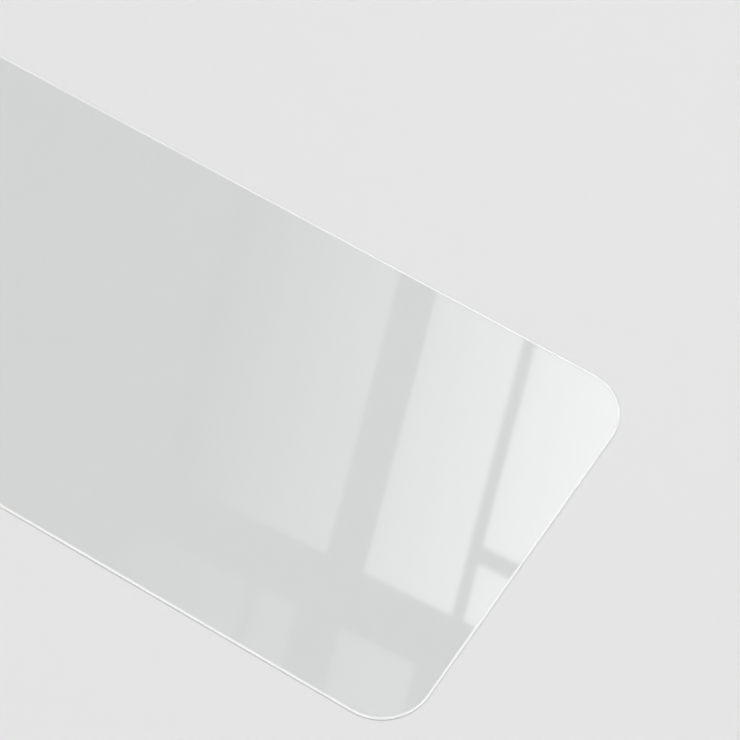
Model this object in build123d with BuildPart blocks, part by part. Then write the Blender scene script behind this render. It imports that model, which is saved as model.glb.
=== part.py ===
"""Phone screen protector: one flat sheet of tempered glass with rounded corners.

The outer face runs into a round polished edge, the inner face ends in a fine arris, and a
narrow upright land is left between the two. Millimetres, +Z up, +Y along the sheet, origin
at the centre of the inner face, which is the face that goes on the screen.
"""

import os

from build123d import *

# Driving dimensions
length = 152.6
width = 72.6
thickness = 0.33
corner_radius = 8.7
polish_width = 0.45  # plan width of the round polished edge
side_land = 0.12  # height of the upright wall under the polished edge
arris = 0.04  # chamfer that breaks the sharp lower edge

# The polished edge falls through what the land and the arris leave of the thickness
polish_drop = thickness - side_land - arris
# The profile that is ground away stands this far clear of the sheet, above it and beside it
clear = polish_width

with BuildPart() as glass_sheet:
    # Flat sheet with round corners, lying on its inner face
    with BuildSketch() as outline:
        RectangleRounded(width, length, corner_radius)
    extrude(amount=thickness)

    # Arris all round the inner face
    inner_face = glass_sheet.faces().sort_by(Axis.Z)[0]
    chamfer(inner_face.edges(), length=arris)

    # Polished edge: an arc that leaves the outer face on its tangent, carried once round the rim
    rim = glass_sheet.faces().sort_by(Axis.Z)[-1].outer_wire()
    along = rim % 0
    outward = along.cross(Vector(0, 0, 1))
    with BuildSketch(Plane(origin=rim @ 0, x_dir=outward, z_dir=-along)) as ground_away:
        with BuildLine():
            polish = TangentArc((-polish_width, 0), (0, -polish_drop), tangent=(1, 0))
            Polyline(
                polish @ 1,
                (clear, -polish_drop),
                (clear, clear),
                (-polish_width, clear),
                polish @ 0,
            )
        make_face()
    sweep(sections=ground_away.sketch, path=rim, mode=Mode.SUBTRACT)

glass_sheet.part.label = "glass_sheet"

os.makedirs("parts", exist_ok=True)
export_step(glass_sheet.part, "parts/glass_sheet.step")
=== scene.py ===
"""Looks of the phone screen protector: a clear sheet of polished glass on a pale floor.

Metres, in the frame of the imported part: +X across the sheet, +Y along it, +Z up.
"""

import math
from collections import namedtuple

import bpy
from mathutils import Matrix, Vector


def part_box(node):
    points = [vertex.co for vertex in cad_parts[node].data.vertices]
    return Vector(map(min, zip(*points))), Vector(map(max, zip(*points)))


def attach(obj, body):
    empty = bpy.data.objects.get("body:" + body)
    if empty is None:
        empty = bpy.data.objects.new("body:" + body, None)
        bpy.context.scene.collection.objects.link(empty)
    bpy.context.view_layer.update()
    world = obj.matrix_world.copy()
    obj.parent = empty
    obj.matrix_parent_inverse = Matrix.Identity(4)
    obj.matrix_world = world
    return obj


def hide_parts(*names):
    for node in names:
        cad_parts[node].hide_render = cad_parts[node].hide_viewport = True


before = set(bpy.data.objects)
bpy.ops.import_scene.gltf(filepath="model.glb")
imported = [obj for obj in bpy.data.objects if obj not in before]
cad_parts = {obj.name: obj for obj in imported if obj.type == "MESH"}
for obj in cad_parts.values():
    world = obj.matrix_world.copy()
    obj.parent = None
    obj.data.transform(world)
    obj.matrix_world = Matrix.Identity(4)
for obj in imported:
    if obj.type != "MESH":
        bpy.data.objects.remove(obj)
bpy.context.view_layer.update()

MM = 0.001
UP = Vector((0, 0, 1))

# The sheet's edge, as in the solid
CORNER_RADIUS = 8.7 * MM
POLISH_WIDTH = 0.45 * MM
SIDE_LAND = 0.12 * MM
ARRIS = 0.04 * MM

# Steps of the mesh round a corner and down the polished edge, and how many of the latter are pale
CORNER_STEPS = 40
POLISH_STEPS = 14
PALE_STEPS = 12

# The sheet's finishes, as slots of its mesh: the clear faces, with the faint waves that tempering leaves;
# the upper part of the polished edge, which scatters light and shows as a pale line; and the foot of that
# edge, the upright land and the arris, ground fine. passes is the share of the lamps' light that a surface
# lets by, and the roughness runs between two levels with a noise of this grain.
Finish = namedtuple("Finish", "name colour clarity passes roughness grain detail wave")
FINISHES = (
    Finish(
        name="clear_glass",
        colour=(0.985, 1.0, 0.993, 1),
        clarity=1.0,
        passes=0.955,
        roughness=(0.018, 0.026),
        grain=25 * MM,
        detail=0.0,
        wave=0.002 * MM,
    ),
    Finish(
        name="polished_edge",
        colour=(0.96, 0.965, 0.963, 1),
        clarity=0.2,
        passes=0.9,
        roughness=(0.1, 0.2),
        grain=0.3 * MM,
        detail=2.0,
        wave=0.0,
    ),
    Finish(
        name="ground_foot",
        colour=(0.995, 1.0, 0.998, 1),
        clarity=1.0,
        passes=0.955,
        roughness=(0.25, 0.35),
        grain=0.06 * MM,
        detail=2.0,
        wave=0.0,
    ),
)
FACE, EDGE, FOOT = range(len(FINISHES))
GLASS_IOR = 1.52

# The photograph's camera
IMAGE_SIDE = 740
FOCAL_PIXELS = 3400
SENSOR = 36.0
CAMERA_AZIMUTH = math.radians(-57.149)
CAMERA_ELEVATION = math.radians(58.123)
CAMERA_PLACE = Vector((-228.65, -195.23, 470.65)) * MM
CAMERA_NEAR = 10 * MM

# A window of softboxes in the mirror image of the view. In pixels of the photograph, the sides of its panes
# lean, and are named by where they cross one height. Their tops and bottoms slope, and are named by where
# they meet the left side. The glow at a side grows from glow_start on, and a pane shades between its sides.
PANE_DISTANCE = 0.8
PANE_LEAN = -0.262
PANE_HEIGHT = 400
PANE_SLOPE = 0.49
Row = namedtuple("Row", "top bottom glow_start glow_growth panes")
UPPER_ROW = Row(
    top=-1500,
    bottom=395,
    glow_start=240,
    glow_growth=0.0076,
    panes=((185, 367), (409, 508), (521, 800)),
)
LOWER_ROW = Row(
    top=461,
    bottom=1000,
    glow_start=85,
    glow_growth=0.002,
    panes=((152, 296), (308, 351), (400, 485)),
)
# A bar across the last pane of the upper row: (top, bottom)
PANE_BAR = (311, 330)

# The upper row again overhead, with the length that a pixel stands for and the pixel over the sheet's middle
OVERHEAD_HEIGHT = 1.2
OVERHEAD_LENGTH = 1.0
OVERHEAD_PIXEL = 0.6 * MM
OVERHEAD_MIDDLE = 400

# The upper row again in windows round the room, in degrees, with the share of its glow at the foot and top
RING_DISTANCE = 1.6
RING_WINDOWS = 20
RING_LEAN = 8
RING_HEIGHTS = (6, 42)
RING_GLOW = (0.14, 0.52)

# Softboxes beside the sheet, in degrees: the azimuth from +X, half the spread, the lowest and highest edge
SIDE_DISTANCE = 0.9
SideBox = namedtuple("SideBox", "azimuth spread low high glow")
SIDE_BOXES = (
    SideBox(azimuth=160, spread=45, low=40, high=70, glow=2.35),
    SideBox(azimuth=-60, spread=25, low=40, high=70, glow=2.35),
    SideBox(azimuth=0, spread=15, low=30, high=60, glow=2.35),
)

# The room's glow at its foot and its ceiling, and the height of a direction where the ceiling begins
ROOM_FOOT = 0.35
ROOM_CEILING = 0.12
CEILING_HEIGHT = 0.6

FLOOR_SHADE = 0.79
FLOOR_ROUGHNESS = 0.9
FLOOR_SPECULAR = 0.1
FLOOR_GAP = 0.05 * MM
FLOOR_SIDE = 20.0

lowest, highest = (Vector(corner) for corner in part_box("glass_sheet"))
thickness = highest.z - lowest.z
polish_drop = thickness - SIDE_LAND - ARRIS


def edge_section():
    """Strips of the edge from the outer face down: (finish, points), each point (inset, height, out, up)."""
    radius = (POLISH_WIDTH**2 + polish_drop**2) / (2 * polish_drop)
    sweep = math.asin(POLISH_WIDTH / radius)
    polish = []
    for step in range(POLISH_STEPS + 1):
        angle = sweep * step / POLISH_STEPS
        inset = POLISH_WIDTH - radius * math.sin(angle)
        height = thickness - radius * (1 - math.cos(angle))
        polish.append((inset, height, math.sin(angle), math.cos(angle)))
    land = [(0.0, ARRIS + SIDE_LAND, 1.0, 0.0), (0.0, ARRIS, 1.0, 0.0)]
    slope = math.sqrt(0.5)
    arris = [(0.0, ARRIS, slope, -slope), (ARRIS, 0.0, slope, -slope)]
    return [
        (EDGE, polish[:PALE_STEPS + 1]),
        (FOOT, polish[PALE_STEPS:]),
        (FOOT, land),
        (FOOT, arris),
    ]


def outline_stations():
    """(centre of the corner, direction out of it) for each point of the outline, anticlockwise from above."""
    middle_x = highest.x - CORNER_RADIUS
    middle_y = highest.y - CORNER_RADIUS
    stations = []
    for quarter, (sign_x, sign_y) in enumerate(((1, 1), (-1, 1), (-1, -1), (1, -1))):
        centre = Vector((sign_x * middle_x, sign_y * middle_y, lowest.z))
        for step in range(CORNER_STEPS + 1):
            turn = math.pi / 2 * (quarter + step / CORNER_STEPS)
            stations.append((centre, Vector((math.cos(turn), math.sin(turn), 0))))
    return stations


def build_sheet():
    """The sheet as a closed mesh with the exact normals of its faces and its polished edge."""
    stations = outline_stations()
    count = len(stations)
    strips = edge_section()
    rings = [strips[0][1][0]] + [point for _, strip in strips for point in strip[1:]]
    points = []
    for inset, height, _, _ in rings:
        for centre, out in stations:
            points.append(centre + out * (CORNER_RADIUS - inset) + UP * height)

    faces = [tuple(range(count))]
    normals = [UP] * count
    slots = [FACE]
    first = 0
    for finish, strip in strips:
        for above, below in zip(strip, strip[1:]):
            second = first + count
            for here in range(count):
                after = (here + 1) % count
                faces.append((first + here, second + here, second + after, first + after))
                slots.append(finish)
                for (_, _, outward, upward), station in (
                    (above, here), (below, here), (below, after), (above, after)
                ):
                    normals.append(stations[station][1] * outward + UP * upward)
            first = second
    faces.append(tuple(range(first + count - 1, first - 1, -1)))
    normals += [-UP] * count
    slots.append(FACE)

    mesh = bpy.data.meshes.new("screen_glass")
    mesh.from_pydata(points, [], faces)
    mesh.shade_smooth()
    mesh.normals_split_custom_set(normals)
    mesh.polygons.foreach_set("material_index", slots)
    for finish in FINISHES:
        mesh.materials.append(glass_material(finish))
    sheet = bpy.data.objects.new("screen_glass", mesh)
    bpy.context.collection.objects.link(sheet)
    return sheet


def glass_material(finish):
    """Glass with an uneven polish, through which the lamps' light passes straight on to the floor."""
    material = bpy.data.materials.new(finish.name)
    material.use_nodes = True
    nodes = material.node_tree.nodes
    links = material.node_tree.links
    shader = nodes["Principled BSDF"]
    shader.inputs["Base Color"].default_value = finish.colour
    shader.inputs["IOR"].default_value = GLASS_IOR
    shader.inputs["Transmission Weight"].default_value = finish.clarity

    place = nodes.new("ShaderNodeTexCoord")
    noise = nodes.new("ShaderNodeTexNoise")
    noise.inputs["Scale"].default_value = 1 / finish.grain
    noise.inputs["Detail"].default_value = finish.detail
    links.new(place.outputs["Object"], noise.inputs["Vector"])
    polish = nodes.new("ShaderNodeMapRange")
    polish.inputs["To Min"].default_value = finish.roughness[0]
    polish.inputs["To Max"].default_value = finish.roughness[1]
    links.new(noise.outputs["Fac"], polish.inputs["Value"])
    links.new(polish.outputs["Result"], shader.inputs["Roughness"])
    if finish.wave:
        bump = nodes.new("ShaderNodeBump")
        bump.inputs["Distance"].default_value = finish.wave
        links.new(noise.outputs["Fac"], bump.inputs["Height"])
        links.new(bump.outputs["Normal"], shader.inputs["Normal"])

    path = nodes.new("ShaderNodeLightPath")
    passed = nodes.new("ShaderNodeBsdfTransparent")
    passed.inputs["Color"].default_value = (finish.passes, finish.passes, finish.passes, 1)
    surface = shader.outputs["BSDF"]
    for kind in ("Is Shadow Ray", "Is Diffuse Ray"):
        mix = nodes.new("ShaderNodeMixShader")
        links.new(path.outputs[kind], mix.inputs["Fac"])
        links.new(surface, mix.inputs[1])
        links.new(passed.outputs["BSDF"], mix.inputs[2])
        surface = mix.outputs["Shader"]
    links.new(surface, nodes["Material Output"].inputs["Surface"])
    return material


def floor_material():
    """An even, matt, pale grey."""
    material = bpy.data.materials.new("pale_floor")
    material.use_nodes = True
    shader = material.node_tree.nodes["Principled BSDF"]
    shader.inputs["Base Color"].default_value = (FLOOR_SHADE, FLOOR_SHADE, FLOOR_SHADE, 1)
    shader.inputs["Roughness"].default_value = FLOOR_ROUGHNESS
    shader.inputs["Specular IOR Level"].default_value = FLOOR_SPECULAR
    return material


def add_floor():
    """A plain floor just under the sheet."""
    half = FLOOR_SIDE / 2
    mesh = bpy.data.meshes.new("floor")
    corners = [(-half, -half, 0), (half, -half, 0), (half, half, 0), (-half, half, 0)]
    mesh.from_pydata(corners, [], [(0, 1, 2, 3)])
    mesh.materials.append(floor_material())
    floor = bpy.data.objects.new("floor", mesh)
    floor.location.z = lowest.z - FLOOR_GAP
    bpy.context.collection.objects.link(floor)


def camera_axes():
    """Right, up and forward of the photograph's camera."""
    flat = math.cos(CAMERA_ELEVATION)
    forward = Vector((
        -math.sin(CAMERA_AZIMUTH) * flat,
        math.cos(CAMERA_AZIMUTH) * flat,
        -math.sin(CAMERA_ELEVATION),
    ))
    right = Vector((math.cos(CAMERA_AZIMUTH), math.sin(CAMERA_AZIMUTH), 0))
    return right, right.cross(forward), forward


def add_camera():
    """The camera at the photograph's place, with its angle of view."""
    data = bpy.data.cameras.new("camera")
    data.sensor_width = SENSOR
    data.lens = FOCAL_PIXELS / IMAGE_SIDE * SENSOR
    data.clip_start = CAMERA_NEAR
    camera = bpy.data.objects.new("camera", data)
    right, up, forward = camera_axes()
    turn = Matrix((right, up, -forward)).transposed()
    camera.matrix_world = Matrix.Translation(CAMERA_PLACE) @ turn.to_4x4()
    bpy.context.collection.objects.link(camera)
    bpy.context.scene.camera = camera


def softbox_material():
    """Light of the strength that the mesh holds as its glow."""
    material = bpy.data.materials.new("softbox")
    material.use_nodes = True
    nodes = material.node_tree.nodes
    links = material.node_tree.links
    nodes.remove(nodes["Principled BSDF"])
    level = nodes.new("ShaderNodeAttribute")
    level.attribute_name = "glow"
    light = nodes.new("ShaderNodeEmission")
    links.new(level.outputs["Fac"], light.inputs["Strength"])
    links.new(light.outputs["Emission"], nodes["Material Output"].inputs["Surface"])
    return material


def add_softboxes(name, points, material):
    """Glowing sheets, four points (place, glow) each."""
    mesh = bpy.data.meshes.new(name)
    sheets = [range(first, first + 4) for first in range(0, len(points), 4)]
    mesh.from_pydata([place for place, _ in points], [], sheets)
    mesh.attributes.new("glow", "FLOAT", "POINT").data.foreach_set("value", [glow for _, glow in points])
    mesh.materials.append(material)
    boxes = bpy.data.objects.new(name, mesh)
    boxes.visible_camera = False
    bpy.context.collection.objects.link(boxes)


def pane_corners(row):
    """The four corners of each pane of a row: (side, which end of the pane, glow)."""
    corners = []
    for left, right in row.panes:
        for side, end in ((left, 0), (right, 0), (right, 1), (left, 1)):
            corners.append((side, end, row.glow_growth * max(0, side - row.glow_start)))
    return corners


def window_rows():
    """The rows of the window, with the last pane of the upper one parted by its bar."""
    bar_top, bar_bottom = PANE_BAR
    return (
        UPPER_ROW._replace(panes=UPPER_ROW.panes[:-1]),
        UPPER_ROW._replace(bottom=bar_top, panes=UPPER_ROW.panes[-1:]),
        UPPER_ROW._replace(top=bar_bottom, panes=UPPER_ROW.panes[-1:]),
        LOWER_ROW,
    )


def add_window(material):
    """The panes that the faces mirror in the photograph's view."""
    right, up, forward = camera_axes()
    mirror = Matrix.Diagonal((1, 1, -1))
    eye = mirror @ CAMERA_PLACE
    ahead = mirror @ forward
    down = mirror @ -up
    distance = CAMERA_PLACE.z / -forward.z + PANE_DISTANCE
    middle = IMAGE_SIDE / 2
    points = []
    for row in window_rows():
        for side, end, glow in pane_corners(row):
            level = (row.top, row.bottom)[end]
            x = (side + PANE_LEAN * (level - PANE_HEIGHT)) / (1 - PANE_LEAN * PANE_SLOPE)
            y = level + PANE_SLOPE * x
            across = (x - middle) / FOCAL_PIXELS
            along = (y - middle) / FOCAL_PIXELS
            points.append((eye + distance * (ahead + right * across + down * along), glow))
    add_softboxes("window", points, material)


def add_overhead(material):
    """The panes that the faces mirror when seen from above."""
    points = []
    for side, end, glow in pane_corners(UPPER_ROW):
        y = OVERHEAD_LENGTH * (0.5 - end)
        x = (side - OVERHEAD_MIDDLE) * OVERHEAD_PIXEL - PANE_LEAN * y
        points.append(((x, y, OVERHEAD_HEIGHT), glow))
    add_softboxes("overhead", points, material)


def direction(azimuth, height):
    """The direction at an azimuth from +X and a height above the floor, in degrees."""
    azimuth = math.radians(azimuth)
    height = math.radians(height)
    return Vector((
        math.cos(height) * math.cos(azimuth),
        math.cos(height) * math.sin(azimuth),
        math.sin(height),
    ))


def add_ring(material):
    """The panes that the faces mirror when seen from the side, one window after another round the room."""
    panes = UPPER_ROW.panes
    first = panes[0][0]
    pitch = 360 / RING_WINDOWS
    pixel = pitch / (panes[-1][1] - first)
    points = []
    for window in range(RING_WINDOWS):
        for side, end, glow in pane_corners(UPPER_ROW):
            azimuth = window * pitch + (side - first) * pixel + RING_LEAN * end
            place = RING_DISTANCE * direction(azimuth, RING_HEIGHTS[end])
            points.append((place, glow * RING_GLOW[end]))
    add_softboxes("ring", points, material)


def add_side_boxes(material):
    """Broad softboxes that light the sheet and the floor."""
    points = []
    for box in SIDE_BOXES:
        for turn, height in (
            (-box.spread, box.low), (box.spread, box.low), (box.spread, box.high), (-box.spread, box.high)
        ):
            points.append((SIDE_DISTANCE * direction(box.azimuth + turn, height), box.glow))
    add_softboxes("side_boxes", points, material)


def add_room():
    """A room with pale walls and a dim ceiling."""
    world = bpy.data.worlds.new("studio")
    world.use_nodes = True
    nodes = world.node_tree.nodes
    links = world.node_tree.links
    place = nodes.new("ShaderNodeTexCoord")
    parts = nodes.new("ShaderNodeSeparateXYZ")
    links.new(place.outputs["Generated"], parts.inputs["Vector"])
    fade = nodes.new("ShaderNodeMapRange")
    fade.interpolation_type = "SMOOTHSTEP"
    fade.inputs["From Max"].default_value = CEILING_HEIGHT
    fade.inputs["To Min"].default_value = ROOM_FOOT
    fade.inputs["To Max"].default_value = ROOM_CEILING
    links.new(parts.outputs["Z"], fade.inputs["Value"])
    back = nodes["Background"]
    back.inputs["Color"].default_value = (1, 1, 1, 1)
    links.new(fade.outputs["Result"], back.inputs["Strength"])
    bpy.context.scene.world = world


sheet = build_sheet()
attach(sheet, "root")
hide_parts("glass_sheet")

add_floor()
softbox = softbox_material()
add_window(softbox)
add_overhead(softbox)
add_ring(softbox)
add_side_boxes(softbox)
add_room()
add_camera()
bpy.context.scene.view_settings.view_transform = "Standard"
